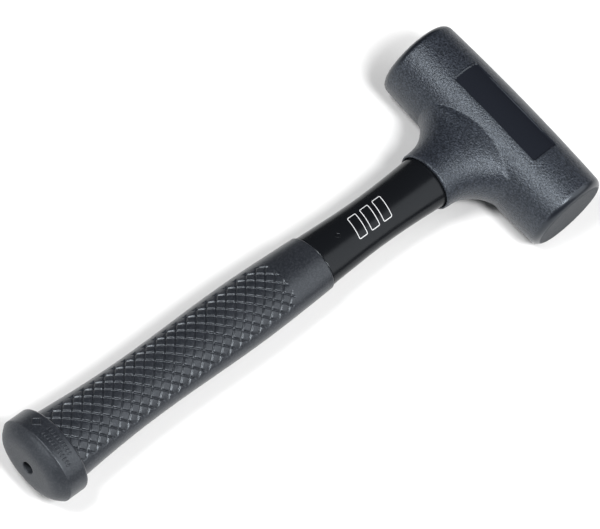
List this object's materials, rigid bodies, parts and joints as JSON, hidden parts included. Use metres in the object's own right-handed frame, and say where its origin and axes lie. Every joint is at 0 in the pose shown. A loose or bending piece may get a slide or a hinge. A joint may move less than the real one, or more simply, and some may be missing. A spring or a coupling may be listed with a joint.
{
  "type": "dead blow mallet",
  "caption": "Dead blow mallet with a crowned two-faced head, loose shot in a steel canister, an oval handle and a grooved rubber grip.",
  "frame": {"origin": "under the middle of the whole mallet, at the bottom of its box, as it lies on its side", "axes": "+X along the head towards the near striking face, +Y along the handle from butt to head, +Z out of the broad side of the handle"},
  "size_m": [0.109, 0.322, 0.0444],
  "materials": {
    "head_plastic": "sand textured moulded polyurethane",
    "shaft_plastic": "glossy black moulded nylon",
    "grip_rubber": "matte thermoplastic rubber",
    "canister_steel": "drawn mild steel",
    "weld_steel": "weld metal",
    "shot_steel": "polished steel balls",
    "core_steel": "drawn steel tube",
    "pin_steel": "blued spring steel",
    "plug_plastic": "moulded nylon"
  },
  "bodies": {
    "mallet": {"head_shell": "head_plastic", "shaft_jacket": "shaft_plastic", "grip": "grip_rubber", "canister_tube": "canister_steel", "canister_cap_near": "canister_steel", "canister_cap_far": "canister_steel", "cap_weld_near": "weld_steel", "cap_weld_far": "weld_steel", "handle_socket": "canister_steel", "socket_weld": "weld_steel", "core_tube": "core_steel", "socket_pin_upper": "pin_steel", "socket_pin_lower": "pin_steel", "core_plug_head": "plug_plastic", "core_plug_tail": "plug_plastic"},
    "shot_charge": {"shot": "shot_steel"}
  },
  "joints": [
    {"name": "shot_slide", "type": "slide", "parent": "mallet", "child": "shot_charge", "axis": [1, 0, 0], "range_m": [-0.007, 0.007]}
  ]
}
